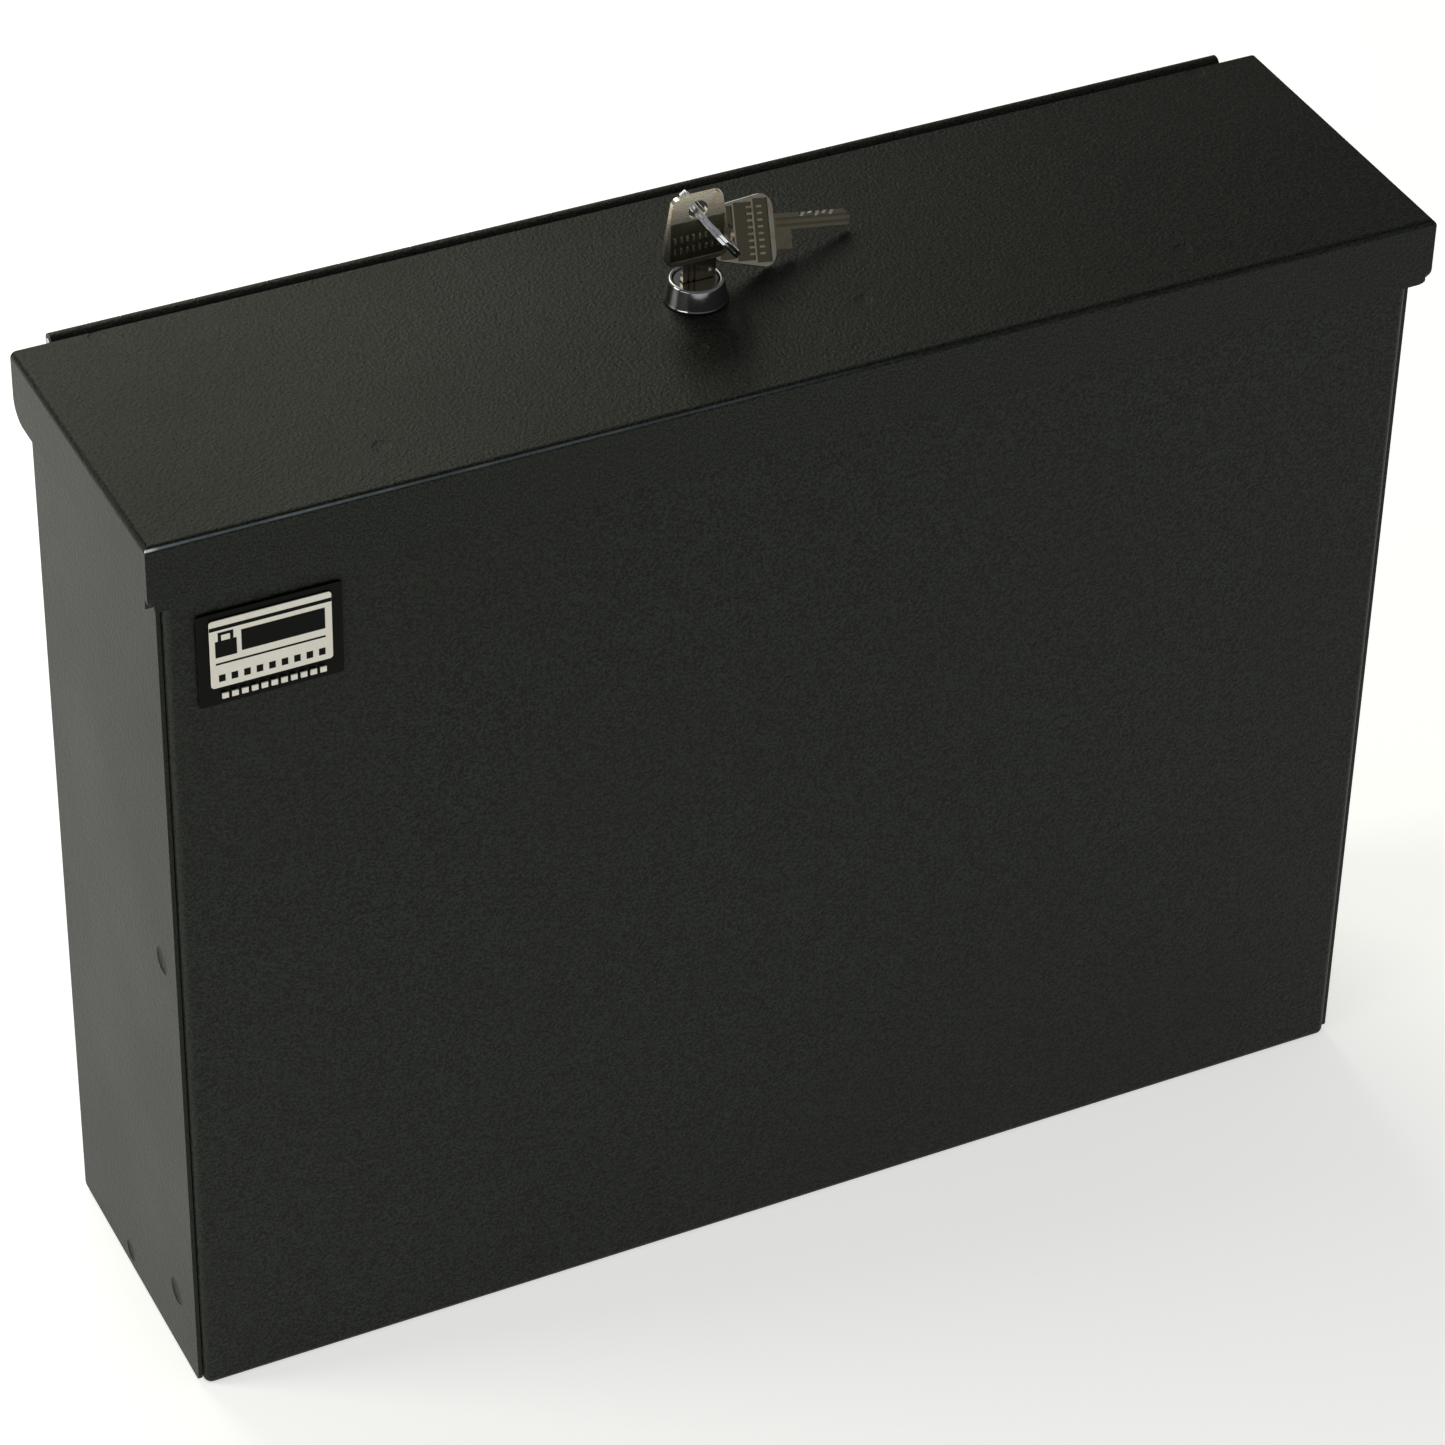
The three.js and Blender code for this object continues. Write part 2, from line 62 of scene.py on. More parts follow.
def add(tree, kind, inputs=(), **settings):
    """Adds a node with its settings, and sets or links its inputs, by name or by number."""
    made = tree.nodes.new(kind)
    for name, value in settings.items():
        setattr(made, name, value)
    for key, value in dict(inputs).items():
        if isinstance(value, bpy.types.NodeSocket):
            tree.links.new(value, made.inputs[key])
        else:
            made.inputs[key].default_value = value
    return made


def new_material(name):
    """An empty node material with its Principled shader and its object coordinates."""
    material = bpy.data.materials.new(name)
    material.use_nodes = True
    tree = material.node_tree
    tree.nodes.clear()
    shader = add(tree, "ShaderNodeBsdfPrincipled")
    add(tree, "ShaderNodeOutputMaterial", {"Surface": shader.outputs["BSDF"]})
    place = add(tree, "ShaderNodeTexCoord").outputs["Object"]
    return material, tree, shader, place


def object_from(name, bm):
    """Makes an object of a bmesh."""
    mesh = bpy.data.meshes.new(name)
    bm.to_mesh(mesh)
    bm.free()
    made = bpy.data.objects.new(name, mesh)
    bpy.context.scene.collection.objects.link(made)
    return made


def camera_at(place_mm, turn_deg, lens_mm):
    data = bpy.data.cameras.new("camera")
    data.lens = lens_mm
    data.sensor_width = 36
    made = bpy.data.objects.new("camera", data)
    made.location = [c * MM for c in place_mm]
    made.rotation_euler = [math.radians(a) for a in turn_deg]
    bpy.context.scene.collection.objects.link(made)
    bpy.context.scene.camera = made


def soft_box(name, place, aim, size, watts, colour):
    data = bpy.data.lights.new(name, "AREA")
    data.shape = "RECTANGLE"
    data.size, data.size_y = size
    data.energy = watts
    data.color = linear(colour)[:3]
    made = bpy.data.objects.new(name, data)
    made.location = place
    made.rotation_euler = (Vector(aim) - Vector(place)).to_track_quat("-Z", "Y").to_euler()
    bpy.context.scene.collection.objects.link(made)


def pale_floor(size, colour, glow):
    bm = bmesh.new()
    bmesh.ops.create_grid(bm, x_segments=2, y_segments=2, size=size)
    made = object_from("floor", bm)
    material, _, shader, _ = new_material("matt_paper_floor")
    shader.inputs["Roughness"].default_value = 0.9
    shader.inputs["Base Color"].default_value = linear(colour)
    shader.inputs["Emission Color"].default_value = linear(colour)
    shader.inputs["Emission Strength"].default_value = glow
    made.data.materials.append(material)


def pale_world(colour, strength):
    world = bpy.data.worlds.new("studio")
    bpy.context.scene.world = world
    world.use_nodes = True
    background = world.node_tree.nodes["Background"]
    background.inputs["Color"].default_value = linear(colour)
    background.inputs["Strength"].default_value = strength


camera_at((-666.1, -1327.7, 1308.5), (52.669, -1.038, -25.817), 133.97)
pale_floor(6.0, "#f4f4f2", 0.64)
pale_world("#f2f3f5", 0.24)
soft_box("soft_box_back", (-0.1, 1.3, 1.35), (-0.1, 0, 0.35), (1.2, 0.8), 11.5, "#fbf8e4")
soft_box("soft_box_left", (-1.9, 0.6, 1.0), (-0.23, 0, 0.25), (0.8, 0.8), 15, "#f8f6ee")
soft_box("soft_box_low", (-1.3, -0.5, 0.25), (-0.23, 0, 0.1), (0.8, 0.4), 5, "#f2f6f0")
bpy.context.scene.view_settings.view_transform = "Standard"

# ---------------------------------------------------------------- body wrap
# Front, bottom and rear are one blank of 1.5 mm cold-rolled steel, folded on a press brake with
# 3 mm bends. Flanges turned in at both ends carry the end plates. Baked black powder coat.

SHEET = 1.5 * MM
BEND = 3 * MM
SIDE_FLANGE = 26 * MM
LOW_FLANGE = 14 * MM


def powder_coat(name, seed=0.0, edge=None):
    """Black epoxy powder, baked on: semi-matt, with an orange-peel skin and fine pale grit.

    edge is the (y, z) of a front edge that gets a painted highlight along it, brightest at its left end.
    """
    material, tree, shader, place = new_material(name)
    place = add(tree, "ShaderNodeMapping", {"Vector": place, "Location": (seed, seed, 0)}).outputs[0]
    peel = add(tree, "ShaderNodeTexNoise", {"Vector": place, "Scale": 760.0, "Detail": 2.0})
    grit = add(tree, "ShaderNodeTexNoise", {"Vector": place, "Scale": 1300.0, "Detail": 1.0})
    cloud = add(tree, "ShaderNodeTexNoise", {"Vector": place, "Scale": 9.0, "Detail": 5.0})
    fleck = add(tree, "ShaderNodeMapRange", {"Value": grit.outputs[0], 1: 0.36, 2: 0.66})
    tone = add(tree, "ShaderNodeMix", {
        "Factor": fleck.outputs[0],
        6: linear("#020401"), 7: linear("#23281f")}, data_type="RGBA")
    dust = add(tree, "ShaderNodeMapRange", {"Value": cloud.outputs[0], 1: 0.45, 2: 0.75, 3: 0.0, 4: 0.3})
    colour = add(tree, "ShaderNodeMix", {
        "Factor": dust.outputs[0], 6: tone.outputs[2], 7: linear("#22231e")}, data_type="RGBA")
    rough = add(tree, "ShaderNodeMapRange", {"Value": cloud.outputs[0], 1: 0.3, 2: 0.7, 3: 0.42, 4: 0.5})
    both = add(tree, "ShaderNodeMath", {0: grit.outputs[0], 1: 0.5, 2: peel.outputs[0]},
               operation="MULTIPLY_ADD")
    bump = add(tree, "ShaderNodeBump", {"Height": both.outputs[0], "Distance": 0.0003, "Strength": 0.8})
    skin = colour.outputs[2]
    if edge:
        skin = painted_edge_highlight(tree, skin, edge)
    tree.links.new(skin, shader.inputs["Base Color"])
    tree.links.new(rough.outputs[0], shader.inputs["Roughness"])
    tree.links.new(bump.outputs[0], shader.inputs["Normal"])
    shader.inputs["Specular IOR Level"].default_value = 0.16
    return material


def painted_edge_highlight(tree, colour, edge):
    """Mixes in a painted highlight, pale bluish grey, within half a millimetre or so of an edge along X,
    fading to the right, with a near-white painted glint at the left end.
    """
    spot = add(tree, "ShaderNodeTexCoord").outputs["Object"]
    part = add(tree, "ShaderNodeSeparateXYZ", {"Vector": spot})
    across = add(tree, "ShaderNodeMath", {0: part.outputs["Y"], 1: edge[0]}, operation="SUBTRACT")
    up = add(tree, "ShaderNodeMath", {0: part.outputs["Z"], 1: edge[1]}, operation="SUBTRACT")
    flat = add(tree, "ShaderNodeCombineXYZ", {"X": across.outputs[0], "Y": up.outputs[0]})
    away = add(tree, "ShaderNodeVectorMath", {0: flat.outputs[0]}, operation="LENGTH")
    near = add(tree, "ShaderNodeMapRange", {
        "Value": away.outputs["Value"], 1: 0.62 * MM, 2: 0.2 * MM}, interpolation_type="SMOOTHSTEP")
    along = add(tree, "ShaderNodeMapRange", {
        "Value": part.outputs["X"], 1: -230 * MM, 2: 40 * MM, 3: 1.0, 4: 0.05})
    patch = add(tree, "ShaderNodeTexNoise", {"Vector": spot, "Scale": 45.0, "Detail": 5.0})
    uneven = add(tree, "ShaderNodeMapRange", {"Value": patch.outputs[0], 1: 0.3, 2: 0.6, 3: 0.45, 4: 1.0})
    line = add(tree, "ShaderNodeMath", {0: near.outputs[0], 1: along.outputs[0]}, operation="MULTIPLY")
    amount = add(tree, "ShaderNodeMath", {0: line.outputs[0], 1: uneven.outputs[0]}, operation="MULTIPLY")
    # painted highlight along the front bend, made patchy by noise and fading to the right
    mixed = add(tree, "ShaderNodeMix", {
        "Factor": amount.outputs[0], 6: colour, 7: linear("#7a848c")}, data_type="RGBA")
    # painted near-white glint at the left end of the front edge
    corner = add(tree, "ShaderNodeMapRange", {"Value": part.outputs["X"], 1: -225 * MM, 2: -228 * MM})
    corner_glint = add(tree, "ShaderNodeMath", {0: near.outputs[0], 1: corner.outputs[0]}, operation="MULTIPLY")
    wear_and_glint = add(tree, "ShaderNodeMix", {
        "Factor": corner_glint.outputs[0], 6: mixed.outputs[2], 7: linear("#eef0f0")}, data_type="RGBA")
    return wear_and_glint.outputs[2]


def settle(piece):
    """Turns a piece's modifiers into plain mesh."""
    depsgraph = bpy.context.evaluated_depsgraph_get()
    mesh = bpy.data.meshes.new_from_object(piece.evaluated_get(depsgraph))
    piece.modifiers.clear()
    worn_out = piece.data
    piece.data = mesh
    bpy.data.meshes.remove(worn_out)
    return piece


def ease_edges(piece, width=0.22 * MM, segments=2, sharp=32):
    """Rounds a piece's sharp edges a little and keeps its flats flat in the shading."""
    bevel = piece.modifiers.new("ease", "BEVEL")
    bevel.width = width
    bevel.segments = segments
    bevel.limit_method = "ANGLE"
    bevel.angle_limit = math.radians(sharp)
    bevel.use_clamp_overlap = True
    piece.data.polygons.foreach_set("use_smooth", [True] * len(piece.data.polygons))
    weigh = piece.modifiers.new("weigh", "WEIGHTED_NORMAL")
    weigh.keep_sharp = True
    weigh.weight = 80
    settle(piece)
    return piece


def thicken(piece, thickness=SHEET):
    wall = piece.modifiers.new("wall", "SOLIDIFY")
    wall.thickness = thickness
    wall.offset = -1
    wall.use_even_offset = True
    return settle(piece)


def finish_piece(piece, material, body, slot, *nodes):
    """Gives a piece its material and its body, and hides the CAD nodes it stands for. slot is not used.
    """
    piece.data.materials.clear()
    piece.data.materials.append(material)
    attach(piece, body)
    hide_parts(*nodes)


def box_mesh(low, high):
    bm = bmesh.new()
    bmesh.ops.create_cube(bm, size=1)
    size = Vector(high) - Vector(low)
    for vert in bm.verts:
        vert.co = Vector(low) + Vector([(c + 0.5) * s for c, s in zip(vert.co, size)])
    return bm


def flanged_end(bm, face):
    """Replaces an end face with three flanges round a window that is open at the top."""
    corners = sorted(face.verts, key=lambda v: (round(v.co.z, 5), v.co.y))
    low_front, low_rear, top_front, top_rear = corners
    x = low_front.co.x
    front = low_front.co.y + SIDE_FLANGE - BEND
    rear = low_rear.co.y - SIDE_FLANGE + BEND
    window = [bm.verts.new((x, y, z)) for y, z in (
        (front, LOW_FLANGE), (rear, LOW_FLANGE), (front, top_front.co.z), (rear, top_rear.co.z))]
    bmesh.ops.delete(bm, geom=[face], context="FACES_ONLY")
    bm.faces.new((low_front, low_rear, window[1], window[0]))
    bm.faces.new((low_front, window[0], window[2], top_front))
    bm.faces.new((low_rear, top_rear, window[3], window[1]))


def folded_wrap():
    low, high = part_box("body_wrap")
    bm = box_mesh(low, high)
    top = [f for f in bm.faces if f.normal.z > 0.9]
    bmesh.ops.delete(bm, geom=top, context="FACES")
    bends = [e for e in bm.edges if not e.is_boundary]
    bmesh.ops.bevel(bm, geom=bends, offset=BEND, segments=7, profile=0.5, affect="EDGES")
    bm.normal_update()
    for side in (-1, 1):
        flats = [f for f in bm.faces if f.normal.x * side > 0.999]
        flanged_end(bm, max(flats, key=lambda f: f.calc_area()))
    bmesh.ops.recalc_face_normals(bm, faces=bm.faces)
    outward = [f for f in bm.faces if f.normal.y < -0.99]
    if max(outward, key=lambda f: f.calc_area()).calc_center_median().y > 0:
        bmesh.ops.reverse_faces(bm, faces=bm.faces)
    return ease_edges(thicken(object_from("body_wrap_sheet", bm)))


body_black = powder_coat("powder_coat_body")
finish_piece(folded_wrap(), body_black, "body", "powder_coat", "body_wrap")

# ---------------------------------------------------------------- end plates
# Flat laser-cut plates of the same sheet, laid over the flanges and plug-welded through holes
# near the edge. The ground welds show as shallow round dents under the powder.


def plate_mesh(outline, thickness):
    """A flat plate: an outline of points in space, extruded by the vector thickness."""
    bm = bmesh.new()
    face = bm.faces.new([bm.verts.new(p) for p in outline])
    grown = bmesh.ops.extrude_face_region(bm, geom=[face])["geom"]
    moved = [v for v in grown if isinstance(v, bmesh.types.BMVert)]
    bmesh.ops.translate(bm, vec=thickness, verts=moved)
    bmesh.ops.recalc_face_normals(bm, faces=bm.faces)
    return bm


def rounded_outline(x, y, radii, steps=8):
    """Points round a rectangle whose corner radii go anticlockwise from the lower left."""
    corners = ((x[0], y[0], 180), (x[1], y[0], 270), (x[1], y[1], 0), (x[0], y[1], 90))
    points = []
    for (cx, cy, start), radius in zip(corners, radii):
        if not radius:
            points.append((cx, cy))
            continue
        mx = cx + radius * (1 if cx == x[0] else -1)
        my = cy + radius * (1 if cy == y[0] else -1)
        for step in range(steps + 1):
            angle = math.radians(start + 90 * step / steps)
            points.append((mx + radius * math.cos(angle), my + radius * math.sin(angle)))
    return points


def geometry_tree(name, inputs):
    """A geometry tree with named inputs; returns it with its input and output nodes."""
    tree = bpy.data.node_groups.new(name, "GeometryNodeTree")
    tree.interface.new_socket("Geometry", in_out="INPUT", socket_type="NodeSocketGeometry")
    for label, kind in inputs:
        tree.interface.new_socket(label, in_out="INPUT", socket_type="NodeSocket" + kind)
    tree.interface.new_socket("Geometry", in_out="OUTPUT", socket_type="NodeSocketGeometry")
    return tree, add(tree, "NodeGroupInput").outputs


def grow(piece, tree, **values):
    """Runs a geometry tree on a piece with these inputs, and keeps the result as plain mesh."""
    modifier = piece.modifiers.new(tree.name, "NODES")
    modifier.node_group = tree
    for item in tree.interface.items_tree:
        if item.in_out == "INPUT" and item.name.replace(" ", "_") in values:
            modifier[item.identifier] = values[item.name.replace(" ", "_")]
    return settle(piece)


def dent_tree():
    """A flattened ball on each point, to cut a shallow round dent with."""
    tree, given = geometry_tree("weld_dents", (
        ("Radius", "Float"), ("Squash", "Vector"), ("Material", "Material")))
    ball = add(tree, "GeometryNodeMeshUVSphere", {"Segments": 32, "Rings": 16, "Radius": given["Radius"]})
    flat = add(tree, "GeometryNodeTransform", {"Geometry": ball.outputs[0], "Scale": given["Squash"]})
    set_out = add(tree, "GeometryNodeInstanceOnPoints", {
        "Points": given["Geometry"], "Instance": flat.outputs[0]})
    real = add(tree, "GeometryNodeRealizeInstances", {0: set_out.outputs[0]})
    coated = add(tree, "GeometryNodeSetMaterial", {
        "Geometry": real.outputs[0], "Material": given["Material"]})
    add(tree, "NodeGroupOutput", {0: coated.outputs[0]})
    return tree


DENTS = dent_tree()


def cut(piece, tool, operation="DIFFERENCE"):
    """Cuts a piece with a tool, or joins the two, and removes the tool."""
    boolean = piece.modifiers.new("cut", "BOOLEAN")
    boolean.operation = operation
    boolean.solver = "EXACT"
    boolean.object = tool
    settle(piece)
    bpy.data.objects.remove(tool)
    return piece


def dent(piece, points, radius, squash):
    bm = bmesh.new()
    for point in points:
        bm.verts.new(point)
    tool = object_from("dent_tool", bm)
    grow(tool, DENTS, Radius=radius, Squash=squash)
    return cut(piece, tool)


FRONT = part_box("body_wrap")[0].y
END_WELDS = ((15.1, 180.5, 5.0), (20.1, 29.0, 5.2), (66.6, 8.5, 4.0))
END_CORNER = 1.5 * MM
SHALLOW_ALONG_X = (0.16, 1, 1)


def end_plate(node, side):
    low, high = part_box(node)
    outline = rounded_outline((low.y, high.y), (low.z, high.z), (END_CORNER, END_CORNER, 0, 0))
    bm = plate_mesh([(low.x, y, z) for y, z in outline], (high.x - low.x, 0, 0))
    plate = object_from(node + "_sheet", bm)
    outer = high.x if side > 0 else low.x
    for from_front, up, radius in END_WELDS:
        dent(plate, [(outer, FRONT + from_front * MM, up * MM)], radius * MM, SHALLOW_ALONG_X)
    return ease_edges(plate)


finish_piece(end_plate("left_end_plate", -1), body_black, "body", "powder_coat", "left_end_plate")
finish_piece(end_plate("right_end_plate", 1), body_black, "body", "powder_coat", "right_end_plate")

# ---------------------------------------------------------------- piano hinge
# Two leaves of thin strip, rolled round a steel pin in 1 inch knuckles that take turns, spot
# welded to the rear wall and under the lid, then powder coated with the box.

KNUCKLE = 25.4 * MM
KNUCKLE_GAP = 0.5 * MM
ROLL = 3 * MM
ROLL_BORE = 1.8 * MM
LEAF = 1.2 * MM
LEAF_GAP = 0.8 * MM
LEAF_OVERLAP = 1 * MM
LEAF_UNDER_TOP = 1.8 * MM
PIN = frame["record"]["behaviour"]["joints"][0]["pos_m"]


def repeat_tree():
    """Copies a piece along X at an even pitch."""
    tree, given = geometry_tree("knuckle_row", (
        ("Count", "Int"), ("Pitch", "Vector"), ("Material", "Material")))
    line = add(tree, "GeometryNodeMeshLine", {
        "Count": given["Count"], "Offset": given["Pitch"]}, mode="OFFSET")
    row = add(tree, "GeometryNodeInstanceOnPoints", {
        "Points": line.outputs[0], "Instance": given["Geometry"]})
    real = add(tree, "GeometryNodeRealizeInstances", {0: row.outputs[0]})
    coated = add(tree, "GeometryNodeSetMaterial", {
        "Geometry": real.outputs[0], "Material": given["Material"]})
    add(tree, "NodeGroupOutput", {0: coated.outputs[0]})
    return tree


ROW = repeat_tree()


def roll_outline(start, sweep, tail):
    """The end view of a knuckle: strip that leaves the tail and rolls most of the way round."""
    steps = 28
    outer = []
    inner = []
    for step in range(steps + 1):
        angle = math.radians(start + sweep * step / steps)
        outer.append((PIN[1] + ROLL * math.cos(angle), PIN[2] + ROLL * math.sin(angle)))
        inner.append((PIN[1] + ROLL_BORE * math.cos(angle), PIN[2] + ROLL_BORE * math.sin(angle)))
    return [tail[0]] + outer + inner[::-1] + [tail[1]]


def hinge_leaf(name, first, count, outline, low, high):
    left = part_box("hinge_leaf_body")[0].x
    start = left + first * KNUCKLE + KNUCKLE_GAP / 2
    bm = plate_mesh([(start, y, z) for y, z in outline], (KNUCKLE - KNUCKLE_GAP, 0, 0))
    row = object_from(name + "_knuckles", bm)
    grow(row, ROW, Count=count, Pitch=(2 * KNUCKLE, 0, 0))
    strip = object_from(name, box_mesh(low, high))
    cut(strip, row, "UNION")
    return ease_edges(strip, 0.15 * MM, 1, 50)


def body_leaf():
    low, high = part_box("hinge_leaf_body")
    top = PIN[2] - ROLL - LEAF_GAP
    tail = ((low.y, top - LEAF_OVERLAP), (low.y + LEAF, top - LEAF_OVERLAP))
    outline = roll_outline(180, -330, tail)
    return hinge_leaf("hinge_leaf_rear", 0, 9, outline,
                      (low.x, low.y, low.z), (high.x, low.y + LEAF, top))


def lid_leaf():
    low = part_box("hinge_leaf_lid")[0]
    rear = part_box("lid_shell")[1].y
    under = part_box("lid_shell")[1].z - LEAF_UNDER_TOP
    first = math.degrees(math.asin((under - PIN[2]) / ROLL))
    tail = ((rear - LEAF_OVERLAP, under), (rear - LEAF_OVERLAP, under - LEAF))
    outline = roll_outline(180 - first, -325, tail)
    return hinge_leaf("hinge_leaf_under_lid", 1, 8, outline,
                      (low.x, low.y, under - LEAF), (-low.x, rear, under))


hinge_black = powder_coat("powder_coat_hinge", 0.31)
finish_piece(body_leaf(), hinge_black, "body", "powder_coat", "hinge_leaf_body")
finish_piece(lid_leaf(), hinge_black, "lid", "powder_coat", "hinge_leaf_lid")

# ---------------------------------------------------------------- lid shell
# A folded pan of the same sheet with 2.2 mm bends and a skirt on three sides. Its lower corners
# are rounded. A highlight is painted along the front edge, brightest at its left end.

LID_BEND = 2.2 * MM
LOCK_HOLE = 9.8 * MM
SKIRT_CORNER = 5 * MM
REAR_CORNER = 8 * MM
SKIRT_REACH = 2.2 * MM
LID_WELD = 3.2 * MM
SHALLOW_ALONG_Z = (1, 1, 0.07)
LID_WELDS = ((-201.3, 116.7), (204.2, 116.6), (-142.5, 22.0), (143.1, 19.1), (-28.5, 31.2), (32.7, 35.0))


def corner_tool(corner, radius, turn, axis, ends):
    """The sliver outside a rounded lower corner, as a tool to cut with."""
    cx, cz = corner
    reach = 2 * MM
    points = [(cx - turn * reach, cz - reach), (cx + turn * radius, cz - reach)]
    for step in range(9):
        angle = math.radians(270 - 90 * step / 8)
        points.append((cx + turn * (radius + radius * math.cos(angle)),
                       cz + radius + radius * math.sin(angle)))
    points.append((cx - turn * reach, cz + radius))
    if axis == "y":
        placed = [(x, ends[0], z) for x, z in points]
        depth = (0, ends[1] - ends[0], 0)
    else:
        placed = [(ends[0], y, z) for y, z in points]
        depth = (ends[1] - ends[0], 0, 0)
    return object_from("corner_tool", plate_mesh(placed, depth))


def lid_pan():
    low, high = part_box("lid_shell")
    bm = box_mesh(low, high)
    open_sides = [f for f in bm.faces if f.normal.z < -0.9 or f.normal.y > 0.9]
    bmesh.ops.delete(bm, geom=open_sides, context="FACES")
    folds = [e for e in bm.edges if not e.is_boundary and all(v.co.z > high.z - MM for v in e.verts)]
    bmesh.ops.bevel(bm, geom=folds, offset=LID_BEND, segments=6, profile=0.5, affect="EDGES")
    bmesh.ops.recalc_face_normals(bm, faces=bm.faces)
    if max(bm.faces, key=lambda f: f.calc_area()).normal.z < 0:
        bmesh.ops.reverse_faces(bm, faces=bm.faces)
    pan = thicken(object_from("lid_pan", bm))
    return round_corners(pan, low, high)


def round_corners(pan, low, high):
    past = 1 * MM
    for side in (-1, 1):
        outer = high.x * side
        front = (low.y - past, low.y + SKIRT_REACH)
        ends = sorted((outer + side * past, outer - side * SKIRT_REACH))
        cut(pan, corner_tool((outer, low.z), SKIRT_CORNER, -side, "y", front))
        cut(pan, corner_tool((low.y, low.z), SKIRT_CORNER, 1, "x", ends))
        cut(pan, corner_tool((high.y, low.z), REAR_CORNER, -1, "x", ends))
    return pan


def lid_shell():
    low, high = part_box("lid_shell")
    pan = lid_pan()
    half_tool = 5 * MM
    hole = [(LOCK_X + LOCK_HOLE * math.cos(a), LOCK_Y + LOCK_HOLE * math.sin(a), high.z - half_tool)
            for a in (math.tau * n / 64 for n in range(64))]
    cut(pan, object_from("hole_tool", plate_mesh(hole, (0, 0, 2 * half_tool))))
    for x, from_front in LID_WELDS:
        dent(pan, [(x * MM, low.y + from_front * MM, high.z)], LID_WELD, SHALLOW_ALONG_Z)
    return ease_edges(pan)


LOCK_X, LOCK_Y = frame["record"]["behaviour"]["joints"][1]["pos_m"][:2]
front_top = (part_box("lid_shell")[0].y + 0.4 * MM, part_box("lid_shell")[1].z - 0.9 * MM)
# the lid's paint carries a painted highlight along its front top edge
lid_black = powder_coat("powder_coat_lid", 0.17, front_top)
finish_piece(lid_shell(), lid_black, "lid", "powder_coat", "lid_shell")

# ---------------------------------------------------------------- name plate
# A thin plate, enamelled black, with an off-white printed panel on it. It carries a plain padlock
# sign, plain bars and two rows of small blocks, and no name.


def gloss_black():
    """Black enamel on thin aluminium: smooth and half glossy, with faint waviness."""
    material, tree, shader, place = new_material("enamelled_label_border")
    wave = add(tree, "ShaderNodeTexNoise", {"Vector": place, "Scale": 300.0})
    bump = add(tree, "ShaderNodeBump", {"Height": wave.outputs[0], "Distance": 0.00003})
    tree.links.new(bump.outputs[0], shader.inputs["Normal"])
    shader.inputs["Base Color"].default_value = linear("#040503")
    shader.inputs["Roughness"].default_value = 0.35
    shader.inputs["Specular IOR Level"].default_value = 0.08
    return material


def printed_white():
    """Screen-printed vinyl: warm off-white ink, satin, slightly uneven."""
    material, tree, shader, place = new_material("printed_vinyl_white")
    mottle = add(tree, "ShaderNodeTexNoise", {"Vector": place, "Scale": 220.0, "Detail": 4.0})
    tint = add(tree, "ShaderNodeMix", {
        "Factor": mottle.outputs[0], 6: linear("#e2ddcf"), 7: linear("#f1ede0")}, data_type="RGBA")
    tree.links.new(tint.outputs[2], shader.inputs["Base Color"])
    shader.inputs["Roughness"].default_value = 0.45
    return material


def label_plate():
    low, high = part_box("label_plate")
    outline = rounded_outline((low.x, high.x), (low.z, high.z), [0.8 * MM] * 4)
    mesh = plate_mesh([(x, high.y, z) for x, z in outline], (0, low.y - high.y, 0))
    return ease_edges(object_from("label_border", mesh), 0.3 * MM, 3)


def label_panel():
    low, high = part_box("label_face")
    outline = rounded_outline((low.x, high.x), (low.z, high.z), [1.2 * MM] * 4)
    mesh = plate_mesh([(x, high.y, z) for x, z in outline], (0, low.y - high.y, 0))
    return ease_edges(object_from("label_panel", mesh), 0.12 * MM, 2)


def ink_bar(bm, left, up, width, height, thick=0.06 * MM):
    """A flat bar of ink, in millimetres from the panel's lower left corner, a fifth of it sunk in."""
    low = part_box("label_face")[0]
    at = Vector((low.x + left * MM, low.y, low.z + up * MM))
    for vert in bmesh.ops.create_cube(bm, size=1)["verts"]:
        side = vert.co.copy()
        vert.co = at + Vector(((side.x + 0.5) * width * MM, (side.y - 0.3) * thick,
                               (side.z + 0.5) * height * MM))


def label_print():
    """A rule across the top, a padlock sign beside a broad band, a thin rule and a row of blocks."""
    bm = bmesh.new()
    top_rule = (0.0, 22.0, 40.9, 1.4)
    band = (10.6, 12.2, 28.0, 8.0)
    lock_body = (1.8, 11.6, 7.2, 6.2)
    shackle = ((2.8, 17.8, 1.1, 2.2), (6.9, 17.8, 1.1, 2.2), (2.8, 20.0, 5.2, 1.1))
    thin_rule = (1.8, 8.8, 36.8, 0.7)
    first_block, pitch = 2.6, 4.2
    for bar in (top_rule, band, lock_body, *shackle, thin_rule):
        ink_bar(bm, *bar)
    for n in range(9):
        ink_bar(bm, first_block + n * pitch, 2.2, 2.2, 2.6)
    return object_from("label_print", bm)


def label_ticks():
    """The row of white blocks on the border, below the panel."""
    first_block, pitch = 3.4, 3.3
    bm = bmesh.new()
    for n in range(11):
        ink_bar(bm, first_block + n * pitch, -4.3, 2.1, 2.0, 0.5 * MM)
    return object_from("label_ticks", bm)


label_ink = gloss_black()
finish_piece(label_plate(), label_ink, "body", "label_black", "label_plate")
label_white = printed_white()
finish_piece(label_panel(), label_white, "body", "label_white", "label_face")
finish_piece(label_print(), label_ink, "body", "label_black", "label_face")
finish_piece(label_ticks(), label_white, "body", "label_white", "label_face")

# ---------------------------------------------------------------- lock housing
# Die-cast zinc bezel and threaded barrel in one, bright chrome plated.


